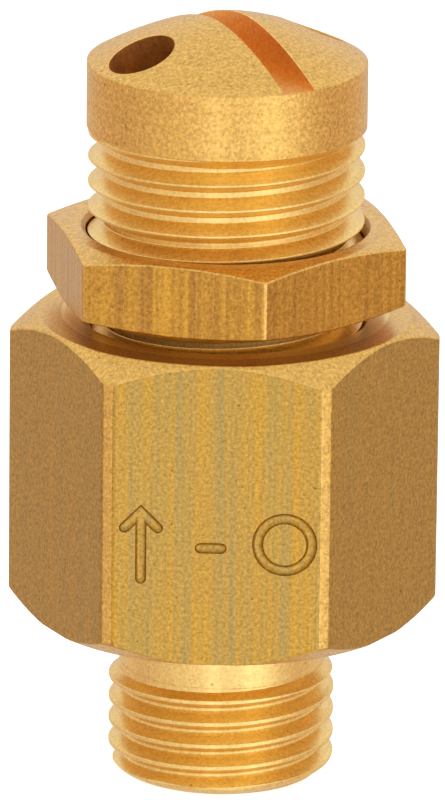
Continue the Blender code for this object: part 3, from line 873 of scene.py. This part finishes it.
def adjusting_screw():
    """Hollow screw with its crowned head, slot and vents."""
    angles = columns()
    low, high = screw_low.z, RUNOUT_HIGH_Z
    end_radius = M_ROOT_RADIUS - 0.15 * MM

    def limit(radius, z):
        start = end_radius + (z - low)
        share = (z - RUNOUT_LOW_Z) / (RUNOUT_HIGH_Z - RUNOUT_LOW_Z)
        run_out = end_radius + share * (HEAD_RADIUS - end_radius)
        return -smallest(-smallest(radius, start, THREAD_BLEND), -run_out, THREAD_BLEND)

    outline = thread_outline(
        M_PITCH, M_CREST_RADIUS, M_ROOT_RADIUS, M_HALF_ANGLE, SHARP_CREST, 0.09 * MM, 0.04 * MM
    )
    thread = thread_rows(angles, outline, M_PITCH, M_CREST_Z, low, high, limit)[::-1]
    crown = [(HEAD_RADIUS * t, crown_z(HEAD_RADIUS * t)) for t in np.linspace(0.0, 1.0, 25)[:-1]]
    head = [np.stack([np.full(angles.shape, r), np.full(angles.shape, z)]) for r, z in crown]
    r_last, z_last = crown[-1]
    head += rounded([(r_last, z_last), (HEAD_RADIUS, RIM_Z, 0.07 * MM), (HEAD_RADIUS, high)], angles)[1:]
    bore = rounded(
        [
            (end_radius, low),
            (SCREW_BORE_RADIUS, low, 0.1 * MM),
            (SCREW_BORE_RADIUS, SCREW_BORE_TOP_Z, 0.25 * MM),
            (0.0, SCREW_BORE_TOP_Z),
        ],
        angles,
    )
    sections = [(0, head), (1, thread), (0, bore)]
    materials = [ROUND_BRASS, THREAD_BRASS, CUT_BRASS_PAINTED_BOUNCE]
    obj = loop_mesh("adjusting_screw_brass", angles, sections, materials, closed=False)
    cut(obj, slot_tool())
    for side in (1, -1):
        cut(obj, vent_tool(side))
    return piece(obj, "adjusting_screw", "adjusting_screw")


# ---------------------------------------------------------------- inner pieces


def turned_piece(node, outline, material, body, ports=()):
    """Turned stand-in for a CAD node. Its outline closes on itself, or starts and ends on the axis."""
    angles = columns()
    on_axis = outline[0][0] == 0.0
    (r0, z0), (r1, z1) = outline[0][:2], outline[-1][:2]
    middle = [((r0 + r1) / 2, (z0 + z1) / 2)]
    rows = rounded(outline if on_axis else middle + outline + middle, angles, 0.08 * MM)
    sections = [(0, rows if on_axis else rows[:-1])]
    obj = loop_mesh(node + "_turned", angles, sections, [material], closed=not on_axis)
    for port in ports:
        cut(obj, port)
    return piece(obj, body, node)


def port_tool(index):
    """Upright round bar that bites into the valve plate's edge."""
    angle = FULL_TURN * index / PORT_COUNT
    reach = PLATE_RADIUS + PORT_RADIUS - PORT_DEPTH
    low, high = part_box("valve_plate")
    rings = []
    for z in (low.z - MM, high.z + MM):
        around = [FULL_TURN * k / PORT_SIDES for k in range(PORT_SIDES)]
        rings.append([(reach + PORT_RADIUS * math.cos(a), PORT_RADIUS * math.sin(a), z) for a in around])
    tool = tool_mesh("port_tool", np.array(rings))
    tool.data.transform(Matrix.Rotation(angle, 4, "Z"))
    return tool


def valve_plate():
    """Brass plate with a skirt round the sealing disc, a hub and ports in its edge."""
    low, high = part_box("valve_plate")
    web_low = low.z + PLATE_SKIRT
    outline = [
        (HUB_RADIUS, high.z),
        (HUB_RADIUS, web_low + PLATE_WEB),
        (PLATE_RADIUS, web_low + PLATE_WEB, 0.25 * MM),
        (PLATE_RADIUS, low.z),
        (PLATE_RECESS_RADIUS, low.z),
        (PLATE_RECESS_RADIUS, web_low),
        (HOLE_RADIUS, web_low),
        (HOLE_RADIUS, high.z),
    ]
    ports = [port_tool(i) for i in range(PORT_COUNT)]
    turned_piece("valve_plate", outline, ROUND_BRASS, "valve_disc", ports)


def valve_stem():
    """Steel stem with a collar above the plate's hub."""
    low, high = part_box("valve_stem")
    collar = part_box("valve_plate")[1].z + 0.1 * MM
    outline = [
        (0.0, high.z),
        (STEM_RADIUS, high.z, 0.3 * MM),
        (STEM_RADIUS, collar + COLLAR_HEIGHT),
        (COLLAR_RADIUS, collar + COLLAR_HEIGHT, 0.15 * MM),
        (COLLAR_RADIUS, collar, 0.15 * MM),
        (STEM_RADIUS, collar),
        (STEM_RADIUS, low.z, 0.3 * MM),
        (0.0, low.z),
    ]
    turned_piece("valve_stem", outline, STEEL, "valve_disc")


def flat_ring(node, radius, material):
    """Disc or washer on the stem."""
    low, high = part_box(node)
    outline = [(radius, high.z), (radius, low.z), (HOLE_RADIUS, low.z), (HOLE_RADIUS, high.z)]
    turned_piece(node, outline, material, "valve_disc")


def stem_nut():
    """Small hexagon nut with both faces chamfered."""
    low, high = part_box("stem_nut")
    angles = columns(half_corner(STEM_NUT_FLATS, STEM_NUT_CORNER_RADIUS))
    hexagon = hex_radius(angles, STEM_NUT_FLATS, STEM_NUT_CORNER_RADIUS)
    face = STEM_NUT_FLATS / 2 - 0.06 * MM
    drop = (hexagon - face) * math.tan(math.radians(30.0))
    middle = (HOLE_RADIUS + face) / 2
    rows = rounded(
        [
            (middle, high.z),
            (face, high.z),
            (hexagon, high.z - drop),
            (hexagon, low.z + drop),
            (face, low.z),
            (HOLE_RADIUS, low.z),
            (HOLE_RADIUS, high.z),
            (middle, high.z),
        ],
        angles,
        0.05 * MM,
    )
    obj = loop_mesh("stem_nut_steel", angles, [(0, rows[:-1])], [STEEL], closed=True)
    piece(obj, "valve_disc", "stem_nut")


def upper_spring_seat():
    """Flanged sleeve under the screw's ceiling, which takes the spring and guides the stem."""
    low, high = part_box("upper_spring_seat")
    flange_high = SEAT_FLANGE_LOW_Z + SEAT_FLANGE_THICKNESS
    outline = [
        (SEAT_BOSS_RADIUS, high.z),
        (SEAT_BOSS_RADIUS, flange_high),
        (SEAT_FLANGE_RADIUS, flange_high, 0.2 * MM),
        (SEAT_FLANGE_RADIUS, SEAT_FLANGE_LOW_Z, 0.2 * MM),
        (GUIDE_RADIUS, SEAT_FLANGE_LOW_Z),
        (GUIDE_RADIUS, low.z, 0.2 * MM),
        (GUIDE_BORE_RADIUS, low.z, 0.2 * MM),
        (GUIDE_BORE_RADIUS, high.z),
    ]
    turned_piece("upper_spring_seat", outline, ROUND_BRASS, "spring_seat")


def coil_point(turn, low_z, high_z):
    """Point on the spring wire's centre line, with a close turn at each end."""
    active_pitch = (high_z - low_z - 2 * END_PITCH) / ACTIVE_TURNS
    rise = END_PITCH * min(turn, 1.0) + active_pitch * min(max(turn - 1.0, 0.0), ACTIVE_TURNS)
    rise += END_PITCH * max(turn - 1.0 - ACTIVE_TURNS, 0.0)
    angle = FULL_TURN * turn
    return Vector((COIL_RADIUS * math.cos(angle), COIL_RADIUS * math.sin(angle), low_z + rise))


def half_spring(name, first_turn, last_turn):
    """Half of the spring's wire."""
    low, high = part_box("pressure_spring")
    ends = (low.z + WIRE_RADIUS, high.z - WIRE_RADIUS)
    count = round((last_turn - first_turn) * RINGS_PER_TURN) + 1
    rings = []
    for i in range(count):
        turn = first_turn + (last_turn - first_turn) * i / (count - 1)
        centre = coil_point(turn, *ends)
        along = (coil_point(turn + 1e-3, *ends) - coil_point(turn - 1e-3, *ends)).normalized()
        out = Vector((centre.x, centre.y, 0.0)).normalized()
        up = along.cross(out).normalized()
        around = [FULL_TURN * k / WIRE_SIDES for k in range(WIRE_SIDES)]
        rings.append([tuple(centre + WIRE_RADIUS * (math.cos(a) * out + math.sin(a) * up)) for a in around])
    obj = finish_mesh(tool_mesh(name, np.array(rings)))
    obj.data.materials.append(WIRE_STEEL)
    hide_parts("pressure_spring")
    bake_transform(obj)


def pressure_spring():
    """Both halves of the spring. They meet at mid-height."""
    half = COIL_TURNS / 2
    half_spring("pressure_spring_lower", 0.0, half)
    half_spring("pressure_spring_upper", half, COIL_TURNS)


# ---------------------------------------------------------------- studio


def sky(turn, red, green, blue):
    """One stop of the studio's band of light: a compass turn in degrees from the front, and its colour."""
    return (turn / 360.0 + 0.5, (red, green, blue, 1.0))


# What surrounds the valve just below eye level, from the back round by the left, the front and the right
BAND = [
    sky(-180, 0.80, 0.76, 0.78),
    sky(-150, 0.82, 0.74, 0.62),
    sky(-122, 0.85, 0.69, 0.62),
    sky(-95, 0.74, 0.60, 0.55),
    sky(-52, 0.95, 0.86, 0.78),
    sky(-20, 1.08, 1.02, 0.96),
    sky(-13, 1.10, 1.06, 1.02),
    sky(-10, 1.90, 1.98, 2.15),
    sky(-5, 1.90, 1.98, 2.15),
    sky(-2, 1.12, 1.08, 1.04),
    sky(22, 1.14, 1.12, 1.10),
    sky(35, 1.70, 1.78, 1.84),
    sky(45, 1.50, 1.54, 1.56),
    sky(62, 1.10, 1.05, 1.00),
    sky(82, 0.86, 0.70, 0.62),
    sky(100, 0.74, 0.60, 0.53),
    sky(122, 0.88, 0.71, 0.61),
    sky(145, 0.84, 0.75, 0.64),
    sky(180, 0.80, 0.76, 0.78),
]
CEILING = (1.0, 1.0, 0.97, 1.0)
BAND_TOP = 0.05  # sines of the elevations between which the band gives way to the ceiling
CEILING_LOW = 0.35
WHITE = (1.0, 1.0, 1.0, 1.0)


def studio():
    """White surroundings for the camera, a band of light and a ceiling for the metal, and a pale floor."""
    world = bpy.data.worlds.new("studio")
    bpy.context.scene.world = world
    world.use_nodes = True
    tree = world.node_tree
    background = tree.nodes["Background"]

    def node(kind, **values):
        made = tree.nodes.new(kind)
        for name, value in values.items():
            setattr(made, name, value)
        return made

    direction = node("ShaderNodeTexCoord").outputs["Generated"]
    parts = node("ShaderNodeSeparateXYZ")
    tree.links.new(direction, parts.inputs[0])
    flip = node("ShaderNodeMath", operation="MULTIPLY")
    tree.links.new(parts.outputs["Y"], flip.inputs[0])
    flip.inputs[1].default_value = -1.0
    turn = node("ShaderNodeMath", operation="ARCTAN2")
    tree.links.new(parts.outputs["X"], turn.inputs[0])
    tree.links.new(flip.outputs[0], turn.inputs[1])
    share = node("ShaderNodeMapRange")
    tree.links.new(turn.outputs[0], share.inputs["Value"])
    share.inputs["From Min"].default_value = -math.pi
    share.inputs["From Max"].default_value = math.pi
    band = node("ShaderNodeValToRGB")
    ramp = band.color_ramp
    while len(ramp.elements) < len(BAND):
        ramp.elements.new(0.5)
    for element, (position, colour) in zip(ramp.elements, BAND):
        element.position = position
        element.color = colour
    tree.links.new(share.outputs["Result"], band.inputs["Fac"])
    height = node("ShaderNodeMapRange", interpolation_type="SMOOTHSTEP")
    tree.links.new(parts.outputs["Z"], height.inputs["Value"])
    height.inputs["From Min"].default_value = BAND_TOP
    height.inputs["From Max"].default_value = CEILING_LOW
    lit = node("ShaderNodeMix", data_type="RGBA")
    tree.links.new(height.outputs["Result"], lit.inputs["Factor"])
    tree.links.new(band.outputs["Color"], lit.inputs[6])
    lit.inputs[7].default_value = CEILING
    seen = node("ShaderNodeMix", data_type="RGBA")
    tree.links.new(node("ShaderNodeLightPath").outputs["Is Camera Ray"], seen.inputs["Factor"])
    tree.links.new(lit.outputs[2], seen.inputs[6])
    seen.inputs[7].default_value = WHITE
    tree.links.new(seen.outputs[2], background.inputs["Color"])

    bpy.ops.mesh.primitive_plane_add(size=6.0, location=(0.0, 0.0, cad_low.z))
    floor = bpy.context.object
    floor.name = "floor"
    paper = Nodes("pale_floor", 0.9, 0.0)
    paper.shader.inputs["Base Color"].default_value = (0.8, 0.8, 0.8, 1.0)
    paper.shader.inputs["Specular IOR Level"].default_value = 0.0
    paper.shader.inputs["Emission Color"].default_value = WHITE
    paper.shader.inputs["Emission Strength"].default_value = 0.75
    floor.data.materials.append(paper.material)
    floor.visible_glossy = False
    bpy.context.scene.view_settings.view_transform = "Standard"


def camera():
    """Long lens in front of the engraved flat, at the height and roll of the view."""
    direction = Vector(
        (
            math.sin(CAMERA_TURN) * math.cos(CAMERA_ELEVATION),
            -math.cos(CAMERA_TURN) * math.cos(CAMERA_ELEVATION),
            math.sin(CAMERA_ELEVATION),
        )
    )
    data = bpy.data.cameras.new("camera")
    data.sensor_fit = "HORIZONTAL"
    data.sensor_width = SENSOR
    data.lens = SENSOR * PIXELS_PER_METRE * CAMERA_DISTANCE / PIXELS_WIDE
    data.clip_start = 0.05
    data.clip_end = 20.0
    obj = bpy.data.objects.new("camera", data)
    bpy.context.scene.collection.objects.link(obj)
    place = Vector((0.0, 0.0, CAMERA_PIVOT_Z)) + CAMERA_DISTANCE * direction
    aim = Vector((AIM_SIDE, 0.0, AIM_Z))
    facing = (place - aim).to_track_quat("Z", "Y").to_matrix().to_4x4()
    obj.matrix_world = Matrix.Translation(place) @ facing @ Matrix.Rotation(CAMERA_ROLL, 4, "Z")
    bpy.context.scene.camera = obj


valve_body()
lock_nut()
adjusting_screw()
valve_plate()
valve_stem()
flat_ring("sealing_disc", DISC_RADIUS, RUBBER)
flat_ring("seal_washer", WASHER_RADIUS, STEEL)
stem_nut()
upper_spring_seat()
pressure_spring()
studio()
camera()
